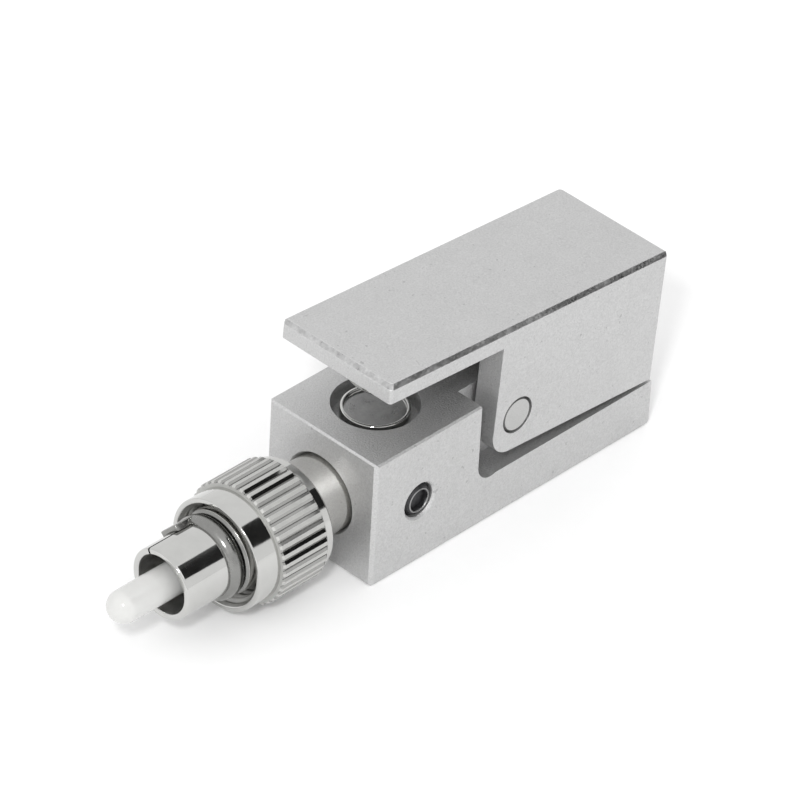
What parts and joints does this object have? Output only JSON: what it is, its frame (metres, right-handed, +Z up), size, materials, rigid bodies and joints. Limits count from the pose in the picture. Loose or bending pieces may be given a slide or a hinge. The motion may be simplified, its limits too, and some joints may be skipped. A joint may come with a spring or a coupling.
{
  "type": "bare fiber adapter",
  "caption": "Square bare fiber adapter: a milled metal block with a rocking spring clamp lever behind and a round screw-on ferrule connector with a knurled nut and dust cap in front.",
  "frame": {"origin": "centre of the body's flat underside, straight below the hinge pin's axis", "axes": "+X along the fiber towards the ferrule tip, +Y towards the side with the set screw, +Z up from the underside"},
  "size_m": [0.0537, 0.0116, 0.0184],
  "materials": {
    "blasted_body": "bead blasted, clear anodised, satin",
    "blasted_lever": "bead blasted, clear anodised, satin",
    "pin_steel": "ground stainless steel, faced ends",
    "spring_steel": "drawn stainless spring wire",
    "polished_plating": "turned steel, polished nickel plating",
    "pad_rubber": "black rubber, matte",
    "stainless_tube": "drawn stainless tube",
    "black_screw": "black oxide steel",
    "satin_nickel": "satin nickel plating",
    "bright_nickel": "bright polished nickel plating",
    "zirconia": "polished white zirconia",
    "holder_nickel": "turned, nickel plated",
    "cap_plastic": "translucent white polyethylene",
    "nut_nickel": "straight knurl, bright nickel plating",
    "washer_steel": "stamped stainless steel"
  },
  "bodies": {
    "base": {"body_block": "blasted_body", "hinge_pin": "pin_steel", "return_spring": "spring_steel", "stop_cup": "polished_plating", "lower_clamp_pad": "pad_rubber", "guide_tube": "stainless_tube", "set_screw": "black_screw", "connector_body": "satin_nickel", "connector_barrel": "bright_nickel", "key_ring": "bright_nickel", "ferrule_spring": "spring_steel"},
    "lever": {"clamp_lever": "blasted_lever", "press_button": "polished_plating", "upper_clamp_pad": "pad_rubber"},
    "washer": {"thrust_washer": "washer_steel"},
    "nut": {"coupling_nut": "nut_nickel"},
    "ferrule": {"ferrule": "zirconia", "ferrule_holder": "holder_nickel"},
    "cap": {"dust_cap": "cap_plastic"}
  },
  "joints": [
    {"name": "lever_pivot", "type": "hinge", "parent": "base", "child": "lever", "pos_m": [0, 0, 0.00865], "axis": [0, 1, 0], "range_deg": [0, 11], "stiffness_Nm_per_rad": 0.05, "springref_deg": -8.59, "deforming": ["return_spring"]},
    {"name": "nut_slide", "type": "slide", "parent": "base", "child": "washer", "axis": [1, 0, 0], "range_m": [-0.0029, 0.0037]},
    {"name": "nut_spin", "type": "hinge", "parent": "washer", "child": "nut", "pos_m": [0.0225, 0, 0.0055], "axis": [1, 0, 0], "continuous": true},
    {"name": "ferrule_float", "type": "slide", "parent": "base", "child": "ferrule", "axis": [1, 0, 0], "range_m": [-0.001, 0], "stiffness_N_per_m": 4000, "springref_m": 0.0015, "deforming": ["ferrule_spring"]},
    {"name": "cap_pull", "type": "slide", "parent": "ferrule", "child": "cap", "axis": [1, 0, 0], "range_m": [0, 0.0085]}
  ]
}
